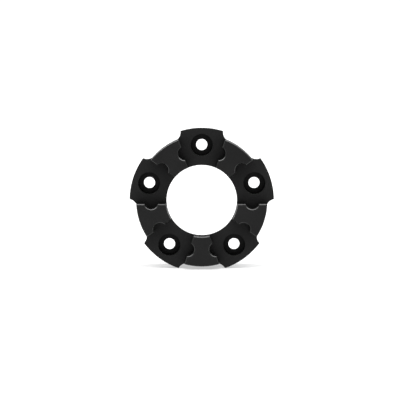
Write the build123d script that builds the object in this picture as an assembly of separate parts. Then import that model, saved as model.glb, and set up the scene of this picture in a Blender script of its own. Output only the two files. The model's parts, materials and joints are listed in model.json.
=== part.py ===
"""Large-bore Oldham coupling with a five-jaw flange hub.

Every piece is drawn with the coupling's axis along Z and its jaws towards +Z, then turned so that the
axis lies along Y with the jaws towards -Y and one lobe straight up, as the coupling stands on a table.
The origin is the centre of the bore in the plane of the five pads.
"""

from build123d import *
import os
from math import cos, radians, sin

# ---------------------------------------------------------------- driving dimensions, in millimetres
COUNT = 5
PITCH_ANGLE = 360 / COUNT
FIRST_LOBE_ANGLE = 90
FIRST_JAW_ANGLE = FIRST_LOBE_ANGLE + PITCH_ANGLE / 2

bore_r = 20.0
bore_land = 2.0
bore_relief_r = 22.0
rim_r = 37.1
lobe_r = 41.0
plate_t = 8.5

notch_angle = 24.7
notch_centre_r = 42.5
notch_r = 5.7

jaw_h = 8.0
jaw_inner_r = 20.25
jaw_outer_r = 37.0
jaw_half_angle = 18.0
jaw_flank_offset = 1.75
jaw_chamfer = 0.4
cup_r = 3.9
cup_distance = 28.5
cup_inset = 0.75

bolt_circle_r = 31.4
bolt_hole_r = 3.2
head_seat_r = 6.25
head_seat_depth = 6.0

sleeve_r = 5.7
sleeve_bore_r = 4.9
sleeve_seat_depth = 0.8
press_gap = 0.02

travel = 0.8
face_gap = 0.3
running_gap = 0.05

disc_t = 3.8
disc_r = 34.5
disc_bore_r = 21.8

driven_t = 7.2
driven_r = 34.0
shaft_bore_r = 22.5

cover_t = 2.5
cover_inset = 0.8
cover_bore_r = 24.2
cover_flare = 0.6

key_length = 7.4
key_width = 4.0
key_sunk = 1.2
key_proud = 2.3
key_edge = 0.3
liner_wall = 0.8
liner_floor = 0.5
tip_gap = 0.2

key_screw_r = 1.0
key_screw_head_r = 1.7
key_screw_head_t = 0.8
key_screw_length = 5.2
key_screw_socket_r = 0.7
key_screw_socket_depth = 0.6

thrust_inner_r = 23.0
thrust_outer_r = 23.9
thrust_sunk = 0.6
thrust_proud = 0.25

button_r = 2.2
button_circle_r = 30.5
button_sunk = 0.7
button_proud = 0.25

set_screw_r = 1.5
set_screw_length = 7.0
set_screw_socket_r = 0.85
set_screw_socket_depth = 2.0
set_screw_depth = 4.6
set_screw_backed_off = 0.5
set_screw_angles = (54, 126, 270)

overlap = 1.0

# ---------------------------------------------------------------- derived planes along the axis
pad_z = 0.0
plate_back_z = pad_z - plate_t
disc_front_z = plate_back_z - face_gap
disc_back_z = disc_front_z - disc_t
driven_front_z = disc_back_z - face_gap
driven_back_z = driven_front_z - driven_t
cover_front_z = driven_back_z - face_gap
cover_back_z = cover_front_z - cover_t

slot_depth = key_proud - face_gap + tip_gap + liner_floor
slot_width = key_width + 2 * (running_gap + liner_wall)
slot_end_gap = travel + tip_gap
disc_scallop_r = sleeve_r + travel + face_gap
driven_scallop_r = sleeve_r + travel * 2**0.5 + face_gap

# Each key: its name, its inner end measured from the axis, its sideways place, and the way it points.
FRONT_KEYS = {
    "right": (24.9, -9.5, 0),
    "left": (24.9, 9.5, 180),
}
REAR_KEYS = {
    "top_left": (19.6, 18.4, 90),
    "top_right": (19.6, -18.4, 90),
    "bottom": (25.2, 0.0, 270),
}


def lobe_angles():
    return [FIRST_LOBE_ANGLE + PITCH_ANGLE * i for i in range(COUNT)]


def jaw_angles():
    return [FIRST_JAW_ANGLE + PITCH_ANGLE * i for i in range(COUNT)]


def polar(radius, angle):
    return (radius * cos(radians(angle)), radius * sin(radians(angle)))


def slab(section, low_z, high_z):
    """A flat section made solid between two planes."""
    return Pos(0, 0, low_z) * extrude(section, high_z - low_z, dir=(0, 0, 1))


def tube(outer_r, inner_r, low_z, high_z):
    """A plain round tube between two planes; an inner radius of 0 makes a rod."""
    section = Circle(outer_r)
    if inner_r:
        section -= Circle(inner_r)
    return slab(section, low_z, high_z)


def at_circle(shape, radius, angles):
    """Copies of a shape at a radius, all kept parallel to the axis."""
    return [Pos(*polar(radius, angle), 0) * shape for angle in angles]


def wedge(half_angle, tip_x=0.0):
    """A long flat triangle that opens along +X from its tip."""
    reach = 2 * lobe_r
    rise = reach * sin(radians(half_angle)) / cos(radians(half_angle))
    corners = [(tip_x, 0), (tip_x + reach, -rise), (tip_x + reach, rise)]
    return make_face(Polyline(*corners, close=True))


def lobed_outline(inset=0.0):
    """The flange's outline, or one set in from it: a circle with five lobes, each scooped out on both sides."""
    lobe = wedge(notch_angle) & Circle(lobe_r - inset)
    for side in (-1, 1):
        lobe -= Pos(*polar(notch_centre_r, side * notch_angle)) * Circle(notch_r + inset)
    outline = Circle(rim_r - inset)
    for angle in lobe_angles():
        outline += Rot(0, 0, angle) * lobe
    return outline


def star_outline(outer_r, scallop_r):
    """A round plate scooped out where the five spacer sleeves pass."""
    outline = Circle(outer_r)
    for x, y in (polar(bolt_circle_r, angle) for angle in lobe_angles()):
        outline -= Pos(x, y) * Circle(scallop_r)
    return outline


def pocket_between_jaws():
    """What is cut away over the pad that points along +X: the gap between two jaws and a round cup in each."""
    tip_x = -jaw_flank_offset / sin(radians(jaw_half_angle))
    gap = wedge(jaw_half_angle, tip_x)
    for side in (-1, 1):
        along = Vector(*polar(1, side * jaw_half_angle))
        outward = Vector(*polar(1, side * (jaw_half_angle + 90)))
        gap += Pos(along * cup_distance + outward * cup_inset) * Circle(cup_r)
    return slab(gap, pad_z, pad_z + jaw_h + overlap)


def slot_cut(key, surface_z, direction):
    """The open-ended slot that a key slides in, cut into the face at surface_z along direction (+1 or -1)."""
    start, side, angle = key
    length = rim_r
    box = Box(length, slot_width, slot_depth, align=(Align.MIN, Align.CENTER, Align.MIN))
    if direction < 0:
        box = Rot(180, 0, 0) * box
    return Pos(0, 0, surface_z) * Rot(0, 0, angle) * Pos(start - slot_end_gap, side, 0) * box


def slot_liner(key, surface_z, direction):
    """A channel that lines a slot: a thin floor and two walls, as long as the key's travel needs."""
    start, side, angle = key
    length = key_length + slot_end_gap
    bottom = (Align.MIN, Align.CENTER, Align.MIN)
    outside = Box(length, slot_width - 2 * press_gap, slot_depth, align=bottom)
    inside_width = key_width + 2 * running_gap
    channel = outside - Box(length, inside_width, slot_depth - liner_floor, align=bottom)
    if direction < 0:
        channel = Rot(180, 0, 0) * channel
    return Pos(0, 0, surface_z) * Rot(0, 0, angle) * Pos(start - slot_end_gap, side, 0) * channel


def key_pocket(key, surface_z, direction):
    """The shallow pocket in the disc that a key is let into, with its screw hole."""
    start, side, angle = key
    middle = (Align.MIN, Align.CENTER, Align.CENTER)
    pocket = Box(key_length, key_width, 2 * key_sunk, align=middle)
    hole = Pos(key_length / 2, 0, 0) * Cylinder(key_screw_r + press_gap, 2 * disc_t)
    cut = pocket + hole
    return Pos(0, 0, surface_z) * Rot(0, 0, angle) * Pos(start, side, 0) * cut


def key_screw():
    """A small countersunk screw with its flat head's top at z = 0, pointing down."""
    up = (Align.CENTER, Align.CENTER, Align.MAX)
    head = Cone(key_screw_r, key_screw_head_r, key_screw_head_t, align=up)
    shank = Cylinder(key_screw_r, key_screw_length, align=up)
    socket = extrude(RegularPolygon(key_screw_socket_r, 6), -key_screw_socket_depth)
    return head + shank - socket


def slide_key():
    """A straight hardened key along +X, from z = -key_sunk to key_proud, countersunk for its screw."""
    bottom = (Align.MIN, Align.CENTER, Align.MIN)
    height = key_sunk + key_proud
    body = Pos(0, 0, -key_sunk) * Box(key_length, key_width, height, align=bottom)
    body = chamfer(body.edges().group_by(Axis.Z)[-1], key_edge)
    screw_x = key_length / 2
    up = (Align.CENTER, Align.CENTER, Align.MAX)
    sink = Cone(
        key_screw_r + press_gap, key_screw_head_r + press_gap, key_screw_head_t + press_gap, align=up
    )
    sink += Cylinder(key_screw_r + press_gap, 2 * height, align=up)
    return body - Pos(screw_x, 0, key_proud) * sink


def on_face(shape, key, surface_z, direction):
    """Places a key or its screw on the disc's front (direction 1) or rear (direction -1) face."""
    start, side, angle = key
    if direction < 0:
        shape = Rot(180, 0, 0) * shape
    return Pos(0, 0, surface_z) * Rot(0, 0, angle) * Pos(start, side, 0) * shape


def front_hub():
    """The jaw flange: a lobed plate with five jaws, counterbored holes, and two open slots behind."""
    jaw_top_z = pad_z + jaw_h
    hub = slab(lobed_outline() - Circle(bore_r), plate_back_z, jaw_top_z)
    hub -= tube(jaw_inner_r, 0, pad_z, jaw_top_z + overlap)
    hub -= tube(2 * lobe_r, jaw_outer_r, pad_z, jaw_top_z + overlap)
    for angle in lobe_angles():
        hub -= Rot(0, 0, angle) * pocket_between_jaws()
    hub = chamfer(hub.edges().group_by(Axis.Z)[-1], jaw_chamfer)
    relief_h = bore_relief_r - bore_r
    relief_z = pad_z - bore_land - relief_h
    up = (Align.CENTER, Align.CENTER, Align.MIN)
    hub -= Pos(0, 0, relief_z) * Cone(bore_relief_r, bore_r, relief_h, align=up)
    hub -= tube(bore_relief_r, 0, plate_back_z - overlap, relief_z)
    screw_hole = tube(bolt_hole_r, 0, plate_back_z - overlap, pad_z + overlap)
    head_seat = tube(head_seat_r, 0, pad_z - head_seat_depth, pad_z + overlap)
    sleeve_seat = tube(
        sleeve_r + press_gap, 0, plate_back_z - overlap, plate_back_z + sleeve_seat_depth
    )
    for hole in at_circle(screw_hole + head_seat + sleeve_seat, bolt_circle_r, lobe_angles()):
        hub -= hole
    for key in FRONT_KEYS.values():
        hub -= slot_cut(key, plate_back_z, 1)
    return hub


def rear_cover():
    """The rear plate: the same lobes, a sleeve seat at each hole and a wide opening for the shaft."""
    outline = lobed_outline(cover_inset) - Circle(cover_bore_r)
    cover = slab(outline, cover_back_z, cover_front_z)
    hole = tube(sleeve_bore_r, 0, cover_back_z - overlap, cover_front_z + overlap)
    middle = (Align.CENTER, Align.CENTER, Align.MIN)
    flare = Cone(sleeve_bore_r + cover_flare, sleeve_bore_r, cover_flare, align=middle)
    hole += Pos(0, 0, cover_back_z) * flare
    seat = tube(
        sleeve_r + press_gap, 0, cover_front_z - sleeve_seat_depth, cover_front_z + overlap
    )
    for cut in at_circle(hole + seat, bolt_circle_r, lobe_angles()):
        cover -= cut
    return cover


def spacer_sleeve():
    low_z = cover_front_z - sleeve_seat_depth
    high_z = plate_back_z + sleeve_seat_depth
    return tube(sleeve_r, sleeve_bore_r, low_z, high_z)


def thrust_ring(surface_z, direction):
    """A flat ring let into one face of the disc, standing a little proud of it."""
    inner_z = surface_z - direction * thrust_sunk
    outer_z = surface_z + direction * thrust_proud
    low_z, high_z = sorted((inner_z, outer_z))
    return tube(thrust_outer_r, thrust_inner_r, low_z, high_z)


def thrust_groove(surface_z, direction):
    low_z, high_z = sorted((surface_z - direction * thrust_sunk, surface_z + direction * overlap))
    return tube(thrust_outer_r + press_gap, thrust_inner_r - press_gap, low_z, high_z)


def floating_disc():
    outline = star_outline(disc_r, disc_scallop_r) - Circle(disc_bore_r)
    disc = slab(outline, disc_back_z, disc_front_z)
    disc -= thrust_groove(disc_front_z, 1)
    disc -= thrust_groove(disc_back_z, -1)
    for key in FRONT_KEYS.values():
        disc -= key_pocket(key, disc_front_z, 1)
    for key in REAR_KEYS.values():
        disc -= key_pocket(key, disc_back_z, -1)
    return disc


def driven_hub():
    """The shaft hub: a star plate with the shaft bore, three open slots, set screw holes and button pockets."""
    outline = star_outline(driven_r, driven_scallop_r) - Circle(shaft_bore_r)
    hub = slab(outline, driven_back_z, driven_front_z)
    for key in REAR_KEYS.values():
        hub -= slot_cut(key, driven_front_z, -1)
    for angle in set_screw_angles:
        hub -= radial_rod(set_screw_r + press_gap, shaft_bore_r - overlap, driven_r + overlap, angle)
    pocket = tube(
        button_r + press_gap, 0, driven_back_z - overlap, driven_back_z + button_sunk
    )
    for cut in at_circle(pocket, button_circle_r, jaw_angles()):
        hub -= cut
    return hub


def radial_rod(radius, inner_r, outer_r, angle):
    """A rod that points outwards from the axis, at the depth of the set screws."""
    rod = Rot(0, 90, 0) * extrude(Circle(radius), outer_r - inner_r)
    return Pos(0, 0, driven_front_z - set_screw_depth) * Rot(0, 0, angle) * Pos(inner_r, 0, 0) * rod


def set_screw(angle):
    """A socket set screw, backed off so that its flat point is just inside the shaft bore's wall."""
    inner_r = shaft_bore_r + set_screw_backed_off
    outer_r = inner_r + set_screw_length
    screw = radial_rod(set_screw_r, inner_r, outer_r, angle)
    socket = Rot(0, 90, 0) * extrude(RegularPolygon(set_screw_socket_r, 6), set_screw_socket_depth)
    socket_x = outer_r - set_screw_socket_depth
    place = Pos(0, 0, driven_front_z - set_screw_depth) * Rot(0, 0, angle) * Pos(socket_x, 0, 0)
    return screw - place * socket


def wear_button():
    return tube(button_r, 0, driven_back_z - button_proud, driven_back_z + button_sunk)


def save(name, shapes):
    """Turns a piece, or a group of equal pieces, into its standing position and writes it."""
    stand = Rot(90, 0, 0)
    solids = [stand * s for s in (shapes if isinstance(shapes, list) else [shapes])]
    piece = solids[0] if len(solids) == 1 else Compound(children=solids)
    piece.label = name
    export_step(piece, f"parts/{name}.step")


os.makedirs("parts", exist_ok=True)

save("front_hub", front_hub())
save("rear_cover", rear_cover())
for number, sleeve in enumerate(at_circle(spacer_sleeve(), bolt_circle_r, lobe_angles()), 1):
    save(f"spacer_sleeve_{number}", sleeve)

save("floating_disc", floating_disc())
save("front_thrust_ring", thrust_ring(disc_front_z, 1))
save("rear_thrust_ring", thrust_ring(disc_back_z, -1))

screws = []
for name, key in FRONT_KEYS.items():
    save(f"front_slot_liner_{name}", slot_liner(key, plate_back_z, 1))
    save(f"drive_key_{name}", on_face(slide_key(), key, disc_front_z, 1))
    screw = Pos(key_length / 2, 0, key_proud) * key_screw()
    screws.append(on_face(screw, key, disc_front_z, 1))
for name, key in REAR_KEYS.items():
    save(f"cross_slot_liner_{name}", slot_liner(key, driven_front_z, -1))
    save(f"cross_key_{name}", on_face(slide_key(), key, disc_back_z, -1))
    screw = Pos(key_length / 2, 0, key_proud) * key_screw()
    screws.append(on_face(screw, key, disc_back_z, -1))
save("key_screws", screws)

save("driven_hub", driven_hub())
for number, angle in enumerate(set_screw_angles, 1):
    save(f"shaft_set_screw_{number}", set_screw(angle))
save("wear_buttons", at_circle(wear_button(), button_circle_r, jaw_angles()))
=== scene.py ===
import json
import math

import bpy
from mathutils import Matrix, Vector


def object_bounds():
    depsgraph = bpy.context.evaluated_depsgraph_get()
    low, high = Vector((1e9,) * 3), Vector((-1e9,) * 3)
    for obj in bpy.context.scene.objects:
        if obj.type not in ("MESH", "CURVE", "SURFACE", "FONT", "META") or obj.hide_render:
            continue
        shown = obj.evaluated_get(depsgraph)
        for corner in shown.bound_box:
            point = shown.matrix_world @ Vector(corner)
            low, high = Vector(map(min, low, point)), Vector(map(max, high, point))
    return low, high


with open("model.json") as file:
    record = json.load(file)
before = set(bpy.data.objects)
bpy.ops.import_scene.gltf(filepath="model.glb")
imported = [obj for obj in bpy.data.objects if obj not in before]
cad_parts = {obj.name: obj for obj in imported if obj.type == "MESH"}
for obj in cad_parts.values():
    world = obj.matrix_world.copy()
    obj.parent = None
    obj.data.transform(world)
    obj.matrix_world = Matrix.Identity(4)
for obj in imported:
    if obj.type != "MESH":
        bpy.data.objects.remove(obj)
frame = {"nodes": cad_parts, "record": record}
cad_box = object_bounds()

MM = 0.001

# ---------------------------------------------------------------- camera
CAMERA_ELEVATION = math.radians(4.0)
CAMERA_DISTANCE = 0.860
CAMERA_LENS = 136.3
CAMERA_CLIP = (0.01, 200.0)
CAMERA_SIDE = -1.0 * MM
CAMERA_RISE = 0.12 * MM

# ---------------------------------------------------------------- floor
FLOOR_HALF = 40.0
FLOOR_WHITE = 0.25
FLOOR_GLOW = 0.50
FLOOR_ROUGHNESS = 0.7

# ---------------------------------------------------------------- light
# Directions are given as components of a unit vector, and each pair is where a soft edge begins and ends.
HORIZON_WHITE = 1.10
UPPER_GREY = 0.10
BAND_TOP = (math.sin(math.radians(6)), math.sin(math.radians(15)))
FRONT_DIM = 0.12
FRONT_TO_BACK = (-0.3, 0.5)
OVERHEAD = 8.0
STRIP_LEAN = math.radians(14)
STRIP_ENDS = (math.sin(math.radians(24)), math.sin(math.radians(48)))
STRIP_HALF = (math.sin(math.radians(24)), math.sin(math.radians(40)))
SIDE_LEFT = 1.1
SIDE_RIGHT = 0.8
SIDE_EDGE = (0.72, 0.93)
SIDE_TOP = (0.34, 0.55)

# ---------------------------------------------------------------- looks
# A noise is its scale, detail and roughness. A range is where a value is taken from or spread over.
METAL_EDGE = 0.2 * MM
PLASTIC_EDGE = 0.1 * MM
EDGE_SAMPLES = 4
EDGE_RANGE = (0.995, 0.86)

CHAMFER_START = -7.3 * MM
CHAMFER_LEAN = math.sin(math.radians(45))
CHAMFER_RANGE = (0.03, 0.10)
CHAMFER_BARE = (0.7, 1.0)
CHAMFER_SHINE = 0.17
CHAMFER_SMOOTHER = 0.18

# Painted shade in recesses: how far and with how many samples a point looks for its own piece's walls,
# leaning down towards the floor.
OPEN_DISTANCE = 14 * MM
OPEN_LEAN = (0, 0, -0.55)
OPEN_SAMPLES = 8
# Painted shade: the openness range and how far the colour is darkened towards black, then the openness
# range and the lowered shine; FACE_SHINE is the shine on open faces.
PAINTED_SHADE_RANGE = (0.35, 0.92)
PAINTED_SHADE_DARK = 0.6
PAINTED_SHADE_SHINE_RANGE = (0.35, 0.97)
PAINTED_SHADE_SHINE = 0.09
FACE_SHINE = 0.158

CLOUDS = (55.0, 3.0, 0.55)
CLOUD_RANGE = (0.3, 0.7)
GRAIN = (2600.0, 2.0, 0.6)
PATCHES = (420.0, 4.0, 0.6)
PATCH_RANGE = (0.42, 0.62)
PATCH_LEAST = 0.15
WORN_SHARE = 0.6
BLAST_RANGE = (0.6, 1.4)
BLAST_SPREAD = (-0.05, 0.06)
BLAST_BUMP = (0.16, 0.02 * MM)

TONE = (90.0, 3.0, 0.5)
TONE_RANGE = (0.3, 0.7)
TONE_SHARE = 0.65
GROOVE_SHARE = 0.35
TURNED_RANGE = (0.25, 0.75)
TURNED_SPREAD = (-0.06, 0.08)
TURNED_BUMP = (0.25, 0.006 * MM)

MOTTLE = (700.0, 3.0, 0.5)
MOTTLE_RANGE = (0.35, 0.65)
MOULDED_SHINE_RANGE = (0.3, 0.7)
MOULDED_ROUGHNESS = (0.42, 0.55)
MOULDED_WORN_SHARE = 0.5
MOULDED_BUMP = (0.2, 0.02 * MM)


def make_camera():
    """Looks along +Y at the bore's centre, from a little above, through a long lens."""
    data = bpy.data.cameras.new("camera")
    data.lens = CAMERA_LENS
    data.clip_start, data.clip_end = CAMERA_CLIP
    camera = bpy.data.objects.new("camera", data)
    bpy.context.scene.collection.objects.link(camera)
    back = Vector((0, -math.cos(CAMERA_ELEVATION), math.sin(CAMERA_ELEVATION)))
    camera.location = Vector((CAMERA_SIDE, 0, CAMERA_RISE)) + back * CAMERA_DISTANCE
    camera.rotation_euler = (-back).to_track_quat("-Z", "Y").to_euler()
    bpy.context.scene.camera = camera


class Graph:
    """A node tree under construction: add() makes a node and sets or links its sockets."""

    def __init__(self, tree):
        self.tree = tree

    def put(self, value, socket):
        """Links another node's socket, or sets a constant on the socket itself."""
        if isinstance(value, bpy.types.NodeSocket):
            self.tree.links.new(value, socket)
        else:
            socket.default_value = value

    def add(self, kind, inputs=None, **settings):
        node = self.tree.nodes.new(kind)
        for name, value in settings.items():
            setattr(node, name, value)
        for key, value in (inputs or {}).items():
            self.put(value, node.inputs[key])
        return node

    def math(self, operation, a, b=0.0):
        return self.add("ShaderNodeMath", {0: a, 1: b}, operation=operation).outputs[0]

    def split(self, vector):
        """The X, Y and Z of a vector, by name."""
        return self.add("ShaderNodeSeparateXYZ", {0: vector}).outputs

    def spread(self, value, from_low, from_high, to_low, to_high, smooth=False):
        """Maps one range to another, and stops at both ends."""
        kind = "SMOOTHSTEP" if smooth else "LINEAR"
        inputs = {"Value": value, "From Min": from_low, "From Max": from_high}
        inputs.update({"To Min": to_low, "To Max": to_high})
        return self.add("ShaderNodeMapRange", inputs, interpolation_type=kind).outputs[0]

    def noise(self, vector, scale, detail, roughness):
        inputs = {"Vector": vector, "Scale": scale, "Detail": detail, "Roughness": roughness}
        return self.add("ShaderNodeTexNoise", inputs).outputs[0]

    def blend(self, factor, a, b):
        """A colour between two others, by a factor."""
        node = self.add("ShaderNodeMix", {"Factor": factor}, data_type="RGBA")
        for socket, colour in ((node.inputs[6], a), (node.inputs[7], b)):
            is_socket = isinstance(colour, bpy.types.NodeSocket)
            self.put(colour if is_socket else (*colour, 1.0), socket)
        return node.outputs[2]


def make_world():
    """A white horizon, a dim band above it, one broad soft light overhead and a panel on each side."""
    world = bpy.data.worlds.new("studio")
    world.use_nodes = True
    bpy.context.scene.world = world
    graph = Graph(world.node_tree)
    direction = graph.add("ShaderNodeTexCoord").outputs["Generated"]
    parts = graph.split(direction)
    height = parts["Z"]

    low = graph.spread(height, *BAND_TOP, HORIZON_WHITE, UPPER_GREY, smooth=True)
    behind = graph.spread(parts["Y"], *FRONT_TO_BACK, FRONT_DIM, 1.0, smooth=True)
    band = graph.math("MULTIPLY", low, behind)

    across = (0, math.cos(STRIP_LEAN), math.sin(STRIP_LEAN))
    dot = graph.add("ShaderNodeVectorMath", {0: direction, 1: across}, operation="DOT_PRODUCT")
    off = graph.math("ABSOLUTE", dot.outputs["Value"])
    strip = graph.spread(height, *STRIP_ENDS, 0.0, OVERHEAD, smooth=True)
    strip = graph.math("MULTIPLY", strip, graph.spread(off, *STRIP_HALF, 1.0, 0.0, smooth=True))

    sideways = graph.math("ABSOLUTE", parts["X"])
    aside = graph.spread(sideways, *SIDE_EDGE, 0.0, 1.0, smooth=True)
    below = graph.spread(height, *SIDE_TOP, 1.0, 0.0, smooth=True)
    aside = graph.math("MULTIPLY", aside, below)
    panels = graph.math("MULTIPLY", aside, graph.spread(parts["X"], -1.0, 1.0, SIDE_LEFT, SIDE_RIGHT))

    background = world.node_tree.nodes["Background"]
    graph.put(graph.math("ADD", band, graph.math("ADD", strip, panels)), background.inputs["Strength"])
    graph.put((1, 1, 1, 1), background.inputs["Color"])


def make_floor(height):
    signs = ((-1, -1), (1, -1), (1, 1), (-1, 1))
    corners = [(x * FLOOR_HALF, y * FLOOR_HALF, height) for x, y in signs]
    mesh = bpy.data.meshes.new("floor")
    mesh.from_pydata(corners, [], [(0, 1, 2, 3)])
    floor = bpy.data.objects.new("floor", mesh)
    bpy.context.scene.collection.objects.link(floor)
    material = bpy.data.materials.new("floor_white")
    material.use_nodes = True
    shader = material.node_tree.nodes["Principled BSDF"]
    shader.inputs["Base Color"].default_value = (*grey(FLOOR_WHITE), 1)
    shader.inputs["Roughness"].default_value = FLOOR_ROUGHNESS
    shader.inputs["Emission Color"].default_value = (1, 1, 1, 1)
    shader.inputs["Emission Strength"].default_value = FLOOR_GLOW
    mesh.materials.append(material)


def grey(value):
    return (value, value, value)


def start_look(name):
    """A new material, its graph, its shader and the place on the piece."""
    material = bpy.data.materials.new(name)
    material.use_nodes = True
    graph = Graph(material.node_tree)
    shader = material.node_tree.nodes["Principled BSDF"]
    place = graph.add("ShaderNodeTexCoord").outputs["Object"]
    return material, graph, shader, place


def finish_look(graph, shader, colour, rough, height, bump, rounded):
    """Wires a look's colour and roughness, and bumps its rounded normal by a strength and distance."""
    strength, distance = bump
    inputs = {"Strength": strength, "Distance": distance, "Height": height, "Normal": rounded}
    normal = graph.add("ShaderNodeBump", inputs).outputs[0]
    graph.put(colour, shader.inputs["Base Color"])
    graph.put(rough, shader.inputs["Roughness"])
    graph.put(normal, shader.inputs["Normal"])


def edges(graph, radius):
    """The rounded normal, and a mask that is 1 near a sharp edge and 0 on flats."""
    rounded = graph.add("ShaderNodeBevel", {"Radius": radius}, samples=EDGE_SAMPLES).outputs[0]
    true = graph.add("ShaderNodeNewGeometry").outputs["Normal"]
    dot = graph.add("ShaderNodeVectorMath", {0: rounded, 1: true}, operation="DOT_PRODUCT")
    return rounded, graph.spread(dot.outputs["Value"], *EDGE_RANGE, 0.0, 1.0)


def chamfer_mask(graph, place):
    """1 on the 45 degree cuts along the jaws' front edges, and 0 elsewhere."""
    true = graph.add("ShaderNodeNewGeometry").outputs["True Normal"]
    lean = graph.math("ABSOLUTE", graph.split(true)["Y"])
    off = graph.math("ABSOLUTE", graph.math("SUBTRACT", lean, CHAMFER_LEAN))
    in_front = graph.math("LESS_THAN", graph.split(place)["Y"], CHAMFER_START)
    return graph.math("MULTIPLY", graph.spread(off, *CHAMFER_RANGE, 1.0, 0.0), in_front)


def open_from_below(graph):
    """How open a point is among its own piece's walls, most of all to light that comes up off the floor;
    closed places get painted shade.
    """
    true = graph.add("ShaderNodeNewGeometry").outputs["Normal"]
    inputs = {0: true, 1: OPEN_LEAN}
    leaning = graph.add("ShaderNodeVectorMath", inputs, operation="ADD").outputs[0]
    leaning = graph.add("ShaderNodeVectorMath", {0: leaning}, operation="NORMALIZE").outputs[0]
    inputs = {"Distance": OPEN_DISTANCE, "Normal": leaning}
    settings = {"samples": OPEN_SAMPLES, "only_local": True}
    return graph.add("ShaderNodeAmbientOcclusion", inputs, **settings).outputs["AO"]


def anodised(name, dark, light, worn, cut, roughness):
    """Bead-blasted, dyed aluminium: fine grain, cloudy dye, rubbed edges and smoother cut chamfers, with
    painted shade in recesses: a darker colour and a lower shine where its own walls, most of all those
    below, close a point in.
    """
    material, graph, shader, place = start_look(name)
    rounded, edge = edges(graph, METAL_EDGE)
    clouds = graph.noise(place, *CLOUDS)
    grain = graph.noise(place, *GRAIN)
    patchy = graph.spread(graph.noise(place, *PATCHES), *PATCH_RANGE, PATCH_LEAST, 1.0)
    chamfer = chamfer_mask(graph, place)
    painted_shade_openness = graph.math("MAXIMUM", open_from_below(graph), chamfer)

    dye = graph.blend(graph.spread(clouds, *CLOUD_RANGE, 0.0, 1.0), dark, light)
    rubbed = graph.math("MULTIPLY", graph.math("MULTIPLY", edge, patchy), WORN_SHARE)
    colour = graph.blend(rubbed, dye, worn)
    bare = graph.math("MULTIPLY", chamfer, graph.spread(patchy, 0.0, 1.0, *CHAMFER_BARE))
    colour = graph.blend(bare, colour, cut)
    # Painted shade: the colour is darkened towards black where the point is closed in by its own walls,
    # most of all by those below it.
    painted_shade = graph.spread(painted_shade_openness, *PAINTED_SHADE_RANGE, PAINTED_SHADE_DARK, 0.0)
    colour = graph.blend(painted_shade, colour, grey(0.0))

    # Painted shade: the shine is lowered in the same recesses, down from the open faces' shine; the cut
    # chamfers get extra shine.
    shine = graph.spread(painted_shade_openness, *PAINTED_SHADE_SHINE_RANGE, PAINTED_SHADE_SHINE, FACE_SHINE)
    shine = graph.math("ADD", shine, graph.math("MULTIPLY", chamfer, CHAMFER_SHINE))
    graph.put(shine, shader.inputs["Specular IOR Level"])

    uneven = graph.math("ADD", grain, clouds)
    low, high = (roughness + change for change in BLAST_SPREAD)
    rough = graph.spread(uneven, *BLAST_RANGE, low, high)
    rough = graph.math("SUBTRACT", rough, graph.math("MULTIPLY", chamfer, CHAMFER_SMOOTHER))
    finish_look(graph, shader, colour, rough, grain, BLAST_BUMP, rounded)
    return material


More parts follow.
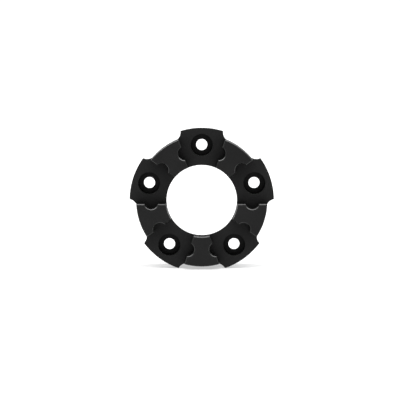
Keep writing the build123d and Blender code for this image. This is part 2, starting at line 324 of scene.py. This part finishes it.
def turned(name, colour, bright, roughness, pitch, metallic=1.0):
    """Lathe-turned metal: fine rings about the coupling's axis, with uneven tone."""
    material, graph, shader, place = start_look(name)
    rounded, edge = edges(graph, METAL_EDGE)
    parts = graph.split(place)
    square_x = graph.math("POWER", parts["X"], 2.0)
    square_z = graph.math("POWER", parts["Z"], 2.0)
    radius = graph.math("SQRT", graph.math("ADD", square_x, square_z))
    along = graph.math("ADD", radius, parts["Y"])
    rings = graph.math("SINE", graph.math("MULTIPLY", along, 2 * math.pi / pitch))
    grooves = graph.spread(rings, -1.0, 1.0, 0.0, 1.0)
    tone = graph.noise(place, *TONE)

    groove_part = graph.math("MULTIPLY", grooves, GROOVE_SHARE)
    mixed = graph.math("ADD", groove_part, graph.math("MULTIPLY", tone, TONE_SHARE))
    shade = graph.blend(graph.spread(mixed, *TURNED_RANGE, 0.0, 1.0), colour, bright)
    worn = graph.blend(edge, shade, bright)
    low, high = (roughness + change for change in TURNED_SPREAD)
    rough = graph.spread(tone, *TONE_RANGE, low, high)
    finish_look(graph, shader, worn, rough, grooves, TURNED_BUMP, rounded)
    shader.inputs["Metallic"].default_value = metallic
    return material


def moulded(name, dark, light):
    """Natural low-friction plastic: waxy, faintly mottled, with edges that are rubbed a little lighter."""
    material, graph, shader, place = start_look(name)
    rounded, edge = edges(graph, PLASTIC_EDGE)
    mottle = graph.noise(place, *MOTTLE)
    colour = graph.blend(graph.spread(mottle, *MOTTLE_RANGE, 0.0, 1.0), dark, light)
    colour = graph.blend(graph.math("MULTIPLY", edge, MOULDED_WORN_SHARE), colour, light)
    rough = graph.spread(mottle, *MOULDED_SHINE_RANGE, *MOULDED_ROUGHNESS)
    finish_look(graph, shader, colour, rough, mottle, MOULDED_BUMP, rounded)
    return material


make_camera()
make_world()
make_floor(cad_box[0].z)
bpy.context.scene.view_settings.view_transform = "Standard"

# Each record slot's look. A turned look's pitch is the distance from one tool ring to the next.
LOOKS = {
    "black_anodised": anodised(
        "black_anodised",
        dark=grey(0.0038),
        light=grey(0.0056),
        worn=grey(0.017),
        cut=grey(0.006),
        roughness=0.40,
    ),
    "hard_anodised": turned(
        "hard_anodised",
        colour=grey(0.10),
        bright=grey(0.17),
        roughness=0.42,
        pitch=0.16 * MM,
        metallic=0.6,
    ),
    "key_steel": turned(
        "key_steel",
        colour=grey(0.24),
        bright=grey(0.40),
        roughness=0.36,
        pitch=0.12 * MM,
    ),
    "liner_bronze": turned(
        "liner_bronze",
        colour=(0.34, 0.18, 0.06),
        bright=(0.55, 0.33, 0.13),
        roughness=0.36,
        pitch=0.14 * MM,
    ),
    "bearing_plastic": moulded(
        "bearing_plastic",
        dark=(0.62, 0.59, 0.50),
        light=(0.74, 0.72, 0.64),
    ),
    "screw_steel": turned(
        "screw_steel",
        colour=grey(0.05),
        bright=grey(0.12),
        roughness=0.36,
        pitch=0.10 * MM,
        metallic=0.8,
    ),
}
for part in frame["record"]["subparts"]:
    piece = frame["nodes"][part["node"]]
    piece.data.materials.clear()
    piece.data.materials.append(LOOKS[part["material_slot"]])
